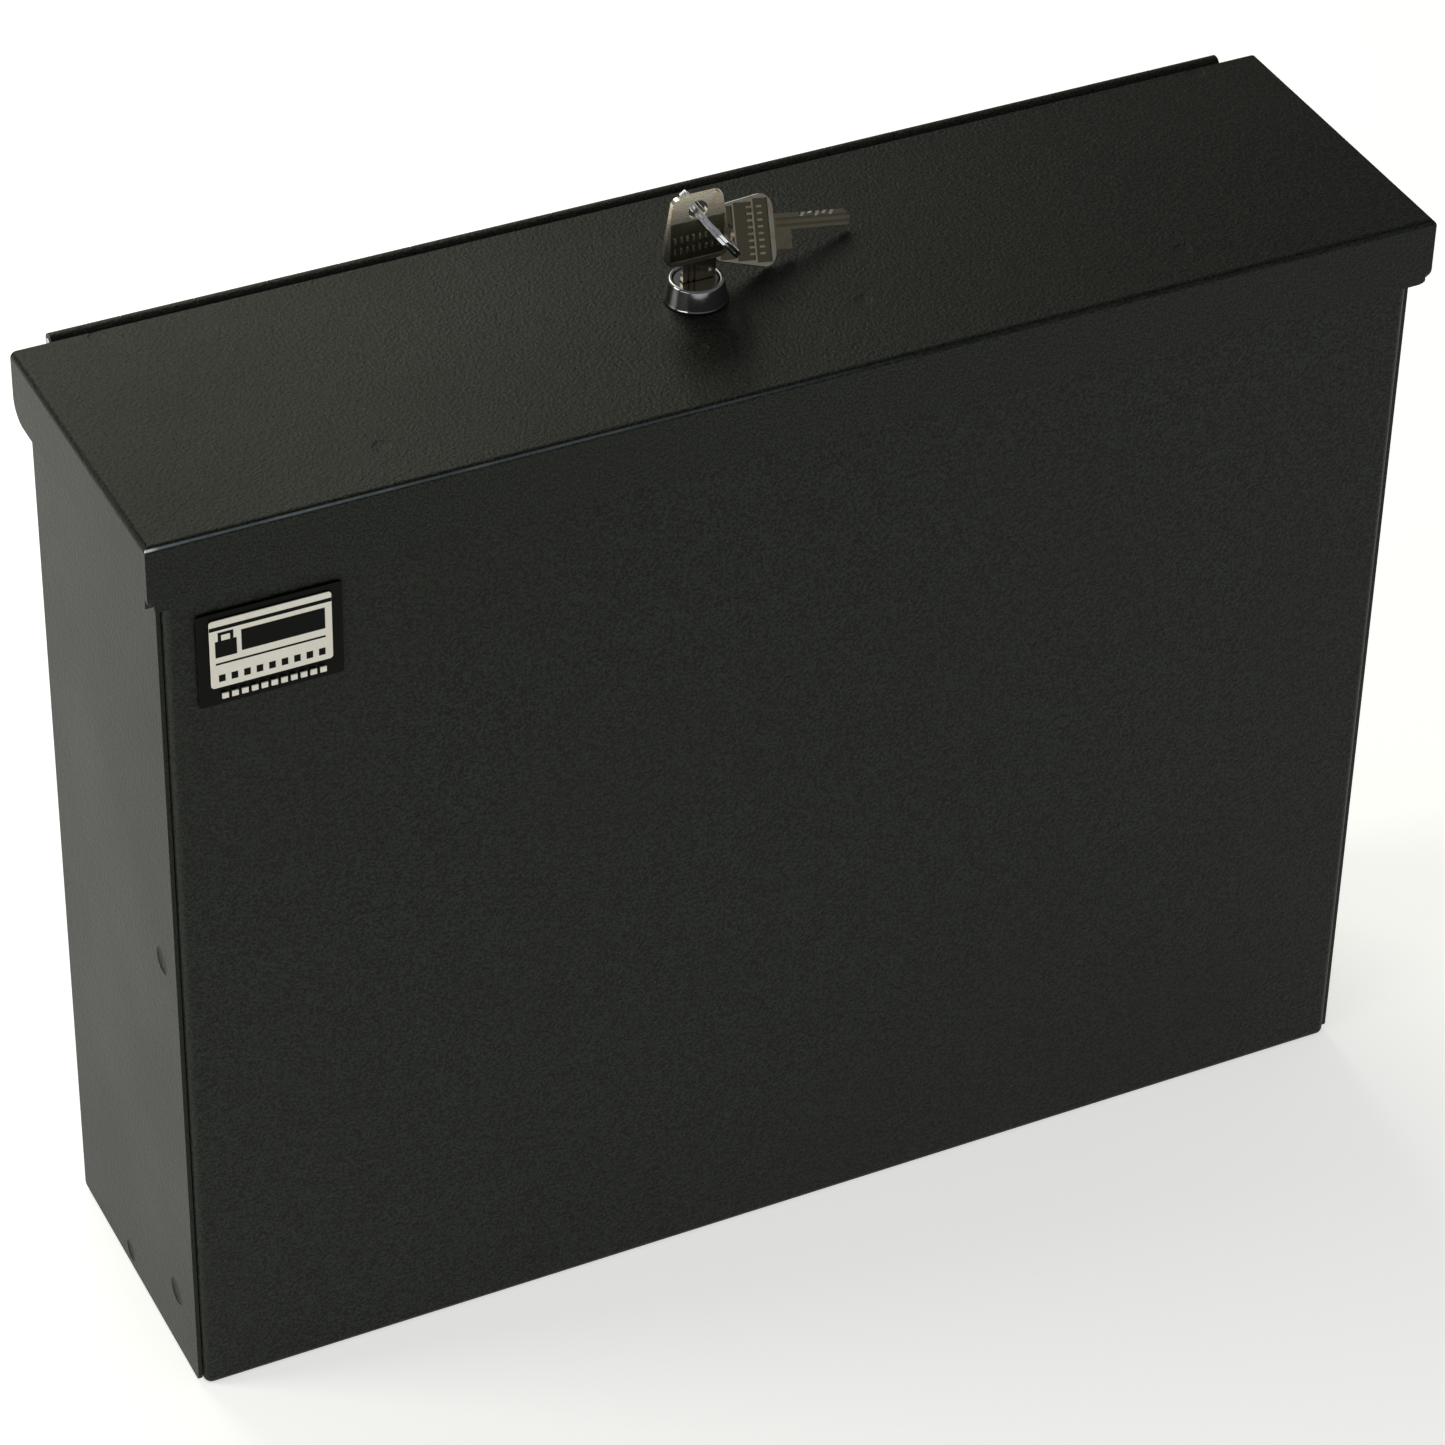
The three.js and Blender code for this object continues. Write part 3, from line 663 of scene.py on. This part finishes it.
def chrome_plate(name, tint):
    """Decorative chrome: mirror bright, with a faint ripple and fine smears."""
    material, tree, shader, place = new_material(name)
    ripple = add(tree, "ShaderNodeTexNoise", {"Vector": place, "Scale": 260.0, "Detail": 2.0})
    bump = add(tree, "ShaderNodeBump", {"Height": ripple.outputs[0], "Distance": 0.00002})
    smear = add(tree, "ShaderNodeTexNoise", {"Vector": place, "Scale": 900.0, "Detail": 5.0})
    rough = add(tree, "ShaderNodeMapRange", {"Value": smear.outputs[0], 3: 0.04, 4: 0.14})
    tree.links.new(bump.outputs[0], shader.inputs["Normal"])
    tree.links.new(rough.outputs[0], shader.inputs["Roughness"])
    shader.inputs["Base Color"].default_value = linear(tint)
    shader.inputs["Metallic"].default_value = 1
    return material


def turned(name, profile, steps=96):
    """A closed profile of (radius, height) spun round the lock's axis."""
    bm = bmesh.new()
    ring = [bm.verts.new((LOCK_X + r, LOCK_Y, z)) for r, z in profile]
    edges = [bm.edges.new((a, b)) for a, b in zip(ring, ring[1:] + ring[:1])]
    bmesh.ops.spin(bm, geom=ring + edges, cent=(LOCK_X, LOCK_Y, 0), axis=(0, 0, 1),
                   angle=math.tau, steps=steps, use_merge=True)
    bmesh.ops.remove_doubles(bm, verts=bm.verts, dist=1e-6)
    bmesh.ops.recalc_face_normals(bm, faces=bm.faces)
    return object_from(name, bm)


def lock_housing():
    low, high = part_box("lock_housing")
    lid_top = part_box("lid_shell")[1].z
    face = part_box("lock_plug")[1].z
    bore, barrel, rim, base = 6.3 * MM, 9.5 * MM, 9.1 * MM, 10.8 * MM
    profile = [
        (bore, low.z), (barrel - 0.6 * MM, low.z), (barrel, low.z + 0.6 * MM),
        (barrel, lid_top + 0.3 * MM), (base, lid_top + 0.3 * MM), (base, lid_top + 0.9 * MM),
        (base - 0.35 * MM, lid_top + 1.4 * MM), (rim + 0.25 * MM, high.z - 0.6 * MM),
        (rim - 0.2 * MM, high.z - 0.1 * MM), (rim - 0.6 * MM, high.z),
        (rim - 1.1 * MM, high.z - 0.1 * MM), (rim - 1.3 * MM, high.z - 0.5 * MM),
        (rim - 1.5 * MM, face - 0.8 * MM), (rim - 1.8 * MM, face - 1.0 * MM), (bore, face - 1.0 * MM)]
    return ease_edges(turned("lock_bezel_and_barrel", profile), 0.12 * MM, 2, 35)


# This chrome base is darker than plain chrome: painted shade standing in for the dark surroundings it
# mirrors.
chrome = chrome_plate("chrome_plated_zinc", "#9a9b9c")
finish_piece(lock_housing(), chrome, "lid", "chrome", "lock_housing")

# ---------------------------------------------------------------- lock works
# The plug is finished bright like the bezel and holds stamped brass wafers on steel springs. The
# cam, nut, washers and screw on its tail and the hinge pin are zinc-plated steel.


def zinc_plate(name):
    """Bright zinc on steel: pale, slightly blue and yellow by turns, fine brushed grain."""
    material, tree, shader, place = new_material(name)
    cloud = add(tree, "ShaderNodeTexNoise", {"Vector": place, "Scale": 90.0, "Detail": 4.0})
    tint = add(tree, "ShaderNodeMix", {
        "Factor": cloud.outputs[0], 6: linear("#a9a79c"), 7: linear("#b9bcc0")}, data_type="RGBA")
    drawn = add(tree, "ShaderNodeMapping", {"Vector": place, "Scale": (1, 12, 12)})
    grain = add(tree, "ShaderNodeTexNoise", {"Vector": drawn.outputs[0], "Scale": 260.0, "Detail": 3.0})
    bump = add(tree, "ShaderNodeBump", {"Height": grain.outputs[0], "Distance": 0.00002})
    rough = add(tree, "ShaderNodeMapRange", {"Value": cloud.outputs[0], 3: 0.28, 4: 0.45})
    tree.links.new(tint.outputs[2], shader.inputs["Base Color"])
    tree.links.new(rough.outputs[0], shader.inputs["Roughness"])
    tree.links.new(bump.outputs[0], shader.inputs["Normal"])
    shader.inputs["Metallic"].default_value = 1
    return material


def worn_brass():
    """Brass that has dulled a little, unevenly."""
    material, tree, shader, place = new_material("machined_brass")
    stain = add(tree, "ShaderNodeTexNoise", {"Vector": place, "Scale": 380.0, "Detail": 5.0})
    tint = add(tree, "ShaderNodeMix", {
        "Factor": stain.outputs[0], 6: linear("#9a7a43"), 7: linear("#c7a868")}, data_type="RGBA")
    rough = add(tree, "ShaderNodeMapRange", {"Value": stain.outputs[0], 3: 0.22, 4: 0.42})
    tree.links.new(tint.outputs[2], shader.inputs["Base Color"])
    tree.links.new(rough.outputs[0], shader.inputs["Roughness"])
    shader.inputs["Metallic"].default_value = 1
    return material


def coat_node(name, material):
    """Gives a carried-over CAD piece its material."""
    data = frame["nodes"][name].data
    data.materials.clear()
    data.materials.append(material)


zinc = zinc_plate("zinc_plated_steel")
brass = worn_brass()
for name in ("hinge_pin", "lock_spur_washer", "lock_nut", "cam_stop_washer", "cam", "cam_lock_washer",
             "cam_screw", *(f"wafer_spring_{n}" for n in range(1, 6))):
    coat_node(name, zinc)
for name in (f"tumbler_wafer_{n}" for n in range(1, 6)):
    coat_node(name, brass)
coat_node("lock_plug", chrome)
for name in ("catch_bracket", "lid_stiffener"):
    coat_node(name, body_black)

# ---------------------------------------------------------------- keys and ring
# Keys blanked from 2 mm nickel-plated brass, with sunk panels and raised ticks on the bow, milled
# along the blade and cut on one edge. The ring is two flat turns of chromed steel wire.

KEY_THICK = 2 * MM
BOW = {"middle": -0.2, "bottom": 12.0, "top": 9.0, "length": 25.2, "low": 4.8, "high": 2.4}
NECK = (-5.2, 6.6, -6.8)
BLADE = (-5.1, 0.3, -31.8)
KEY_HOLE = (3.4, 19.9)
CUTS = (1.4, 0.6, 1.8, 1.0, 1.5)
CUT_PITCH = 3.0
PANELS_STANDING = ((1.6, 16.2),)
PANELS_HANGING = ((1.9, 8.0), (8.7, 16.0), (16.7, 23.0))
PANEL_RIM = 0.5
PANEL_DEEP = 0.35 * MM
GROOVES = (-3.7, -1.6)
GROOVE_TOP = -0.8
GROOVE_WIDE = 0.9
GROOVE_DEEP = 0.55 * MM
FACE = 1.0
TICK_ROWS = (4.4, 8.6)
TICK_LEFT = -8.4
TICK_WIDE = 0.7
TICK_TALL = 2.2
TICK_PITCH = 2.2 * MM
TICK_THICK = 0.5 * MM
TICK_MIDDLE = 0.65
RING_DIAMETER = 26.6 * MM
RING_WIDE = 2.4 * MM
RING_THICK = 1.3 * MM
TURN_FIT = 0.96
RING_SAG = Vector((0, 0, -1.2 * MM))


def nickel_brass():
    """Nickel over brass: warm silver, rubbed thin in patches, with painted shade where faces are marked
    for it and bare brass where faces are marked brassy.
    """
    material, tree, shader, place = new_material("nickel_plated_brass")
    rub = add(tree, "ShaderNodeTexNoise", {"Vector": place, "Scale": 240.0, "Detail": 5.0})
    wear_and_glint = add(tree, "ShaderNodeMapRange", {"Value": rub.outputs[0], 1: 0.56, 2: 0.7, 4: 0.7})
    plate = add(tree, "ShaderNodeMix", {
        "Factor": wear_and_glint.outputs[0], 6: linear("#c9c3b2"), 7: linear("#b48a4e")}, data_type="RGBA")
    # painted shade: faces marked for it are darkened, standing in for dark reflections
    painted_shade = add(tree, "ShaderNodeAttribute", attribute_name="painted_shade")
    shaded_plate = add(tree, "ShaderNodeMix", {
        "Factor": painted_shade.outputs["Fac"], 6: plate.outputs[2], 7: linear("#77725f")}, data_type="RGBA")
    brassy = add(tree, "ShaderNodeAttribute", attribute_name="brassy")
    tint = add(tree, "ShaderNodeMix", {
        "Factor": brassy.outputs["Fac"], 6: shaded_plate.outputs[2], 7: linear("#d99a4a")}, data_type="RGBA")
    scratch = add(tree, "ShaderNodeTexNoise", {"Vector": place, "Scale": 1500.0, "Detail": 3.0})
    bump = add(tree, "ShaderNodeBump", {"Height": scratch.outputs[0], "Distance": 0.00002})
    rough = add(tree, "ShaderNodeMapRange", {"Value": rub.outputs[0], 3: 0.16, 4: 0.3})
    tree.links.new(tint.outputs[2], shader.inputs["Base Color"])
    tree.links.new(rough.outputs[0], shader.inputs["Roughness"])
    tree.links.new(bump.outputs[0], shader.inputs["Normal"])
    shader.inputs["Metallic"].default_value = 1
    return material


def bow_half(along):
    """Half the bow's width at a height: it narrows upwards."""
    return BOW["bottom"] - (BOW["bottom"] - BOW["top"]) * along / BOW["length"]


def bow_outline():
    """The bow's outline in (across, along), from its lower right corner round."""
    points = []
    low, high, top = BOW["low"], BOW["high"], BOW["length"]
    corners = ((1, 0, low, 1), (1, top, high, -1), (-1, top, high, -1), (-1, 0, low, 1))
    for number, (side, up, radius, inward) in enumerate(corners):
        centre = (BOW["middle"] + side * (bow_half(up) - radius), up + inward * radius)
        first = 90 * (number - 1)
        for step in range(9):
            angle = math.radians(first + 90 * step / 8)
            points.append((centre[0] + radius * math.cos(angle), centre[1] + radius * math.sin(angle)))
    return points


def blade_outline():
    """Neck and blade in (across, along), with the cuts along one edge."""
    tip = BLADE[2]
    points = [(NECK[0], 1.5), (NECK[0], NECK[2]), (BLADE[0], NECK[2])]
    for number, depth in enumerate(CUTS):
        along = NECK[2] - 5 - number * CUT_PITCH
        points += [(BLADE[0], along + 1.49), (BLADE[0] + depth, along + 0.5),
                   (BLADE[0] + depth, along - 0.5), (BLADE[0], along - 1.48)]
    points += [(BLADE[0], tip + 2.5), (BLADE[0] + 2.4, tip), (BLADE[1] - 0.6, tip), (BLADE[1], tip + 0.8),
               (BLADE[1], NECK[2]), (NECK[1], NECK[2]), (NECK[1], 1.5)]
    return points


def flat_part(name, outline, thick, middle=0.0):
    """A flat plate of an outline in millimetres (across, along), centred on the key's plane."""
    near = middle * MM - thick / 2
    return object_from(name, plate_mesh([(x * MM, near, z * MM) for x, z in outline], (0, thick, 0)))


def key_solid(name, panels):
    """A key in its own frame: across, through and along, with its bow upwards."""
    key = flat_part(name, bow_outline(), KEY_THICK)
    cut(key, flat_part("blade", blade_outline(), KEY_THICK * 0.97), "UNION")
    circle = [(BOW["middle"] + KEY_HOLE[0] * math.cos(a), KEY_HOLE[1] + KEY_HOLE[0] * math.sin(a))
              for a in (math.tau * n / 48 for n in range(48))]
    cut(key, flat_part("hole_tool", circle, 4 * KEY_THICK))
    for face in (-1, 1):
        for low, high in panels:
            half = bow_half(high) - PANEL_RIM
            outline = [(BOW["middle"] - half, low), (BOW["middle"] + half, low),
                       (BOW["middle"] + half, high), (BOW["middle"] - half, high)]
            cut(key, flat_part("panel_tool", outline, 2 * PANEL_DEEP, face * FACE))
        for left in GROOVES:
            right, tip = left + GROOVE_WIDE, BLADE[2] - 1
            slot = [(left, tip), (right, tip), (right, GROOVE_TOP), (left, GROOVE_TOP)]
            cut(key, flat_part("groove_tool", slot, 2 * GROOVE_DEEP, face * FACE))
        for along in TICK_ROWS:
            right, top = TICK_LEFT + TICK_WIDE, along + TICK_TALL
            tick = [(TICK_LEFT, along), (right, along), (right, top), (TICK_LEFT, top)]
            row = flat_part("coined_ticks", tick, TICK_THICK, face * TICK_MIDDLE)
            grow(row, ROW, Count=8, Pitch=(TICK_PITCH, 0, 0))
            cut(key, row, "UNION")
    return mark_painted_shade(ease_edges(key, 0.12 * MM, 2, 35))


def mark_painted_shade(key):
    """Marks sunk floors fully and the flats of the shank mostly with painted shade, and the blade's back
    as bare brass.
    """
    for name in ("painted_shade", "brassy"):
        key.data.attributes.new(name, "FLOAT", "FACE")
    painted_shade, brassy = (key.data.attributes[name] for name in ("painted_shade", "brassy"))
    for face in key.data.polygons:
        flat = abs(face.normal.y) > 0.9
        sunk = flat and abs(face.center.y) < KEY_THICK / 2 - 0.2 * MM
        shank = flat and face.center.z < 0
        # painted shade, full on sunk floors and 0.8 on the shank's flats
        painted_shade.data[face.index].value = 1.0 if sunk else 0.8 if shank else 0.0
        back = face.center.z < NECK[2] * MM and face.center.x > (BLADE[1] - 1) * MM
        brassy.data[face.index].value = 1.0 if back else 0.0
    return key


def place_key(name, panels, across, face, up, origin):
    key = key_solid(name, panels)
    turn = Matrix((across, face, up)).transposed().to_4x4()
    turn.translation = origin
    key.data.transform(turn)
    return key


def split_ring(centre, spoke, axis):
    """Two flat turns side by side with a hairline between them, their sides bowed out a little."""
    side = axis.cross(spoke)
    steps = 112
    section = ((-0.44, -0.5), (0.44, -0.5), (0.5, 0.0), (0.44, 0.5), (-0.44, 0.5), (-0.5, 0.0))
    bm = bmesh.new()
    for turn in (-1, 1):
        rings = []
        for n in range(steps):
            angle = math.tau * n / steps
            outward = spoke * math.cos(angle) + side * math.sin(angle)
            rings.append([bm.verts.new(
                centre + outward * (RING_DIAMETER / 2 + out * RING_THICK)
                + axis * (turn * RING_WIDE / 4 + across * RING_WIDE / 2 * TURN_FIT))
                for across, out in section])
        for here, after in zip(rings, rings[1:] + rings[:1]):
            for a in range(len(section)):
                b = (a + 1) % len(section)
                bm.faces.new((here[a], here[b], after[b], after[a]))
    bmesh.ops.recalc_face_normals(bm, faces=bm.faces)
    return ease_edges(object_from("split_ring", bm), 0.08 * MM, 2, 40)


def joint_at(name):
    return next(Vector(j["pos_m"]) for j in frame["record"]["behaviour"]["joints"] if j["name"] == name)


nickel = nickel_brass()
first_hole = joint_at("ring_swing")
spare_hole = joint_at("spare_key_swing")
upright = (Vector((1, 0, 0)), Vector((0, 1, 0)), Vector((0, 0, 1)))
first_origin = first_hole - Vector((BOW["middle"], 0, KEY_HOLE[1])) * MM
standing_key = place_key("key_standing", PANELS_STANDING, *upright, first_origin)
finish_piece(standing_key, nickel, "key", "nickel", "key_in_lock")

spare_along = Vector((0.958, 0.141, -0.248)).normalized()
spare_across = Vector((-0.137, -0.536, -0.833))
spare_across = (spare_across - spare_along * spare_across.dot(spare_along)).normalized()
spare_up = -spare_along
spare_face = spare_up.cross(spare_across)
spare_origin = spare_hole + spare_along * KEY_HOLE[1] * MM - spare_across * BOW["middle"] * MM
hanging_key = place_key("key_hanging", PANELS_HANGING, spare_across, spare_face, spare_up, spare_origin)
finish_piece(hanging_key, nickel, "spare", "nickel", "spare_key")

ring_spoke = (spare_hole - first_hole).normalized()
ring_axis = Vector((0.799, -0.034, 0.601))
ring_axis = (ring_axis - ring_spoke * ring_axis.dot(ring_spoke)).normalized()
hanging_ring = split_ring((first_hole + spare_hole) / 2 + RING_SAG, ring_spoke, ring_axis)
# The ring's chrome base is paler than plain chrome: a painted highlight.
chrome_painted_highlight = chrome_plate("chromed_steel_wire", "#eceef2")
finish_piece(hanging_ring, chrome_painted_highlight, "ring", "chrome", "key_ring")
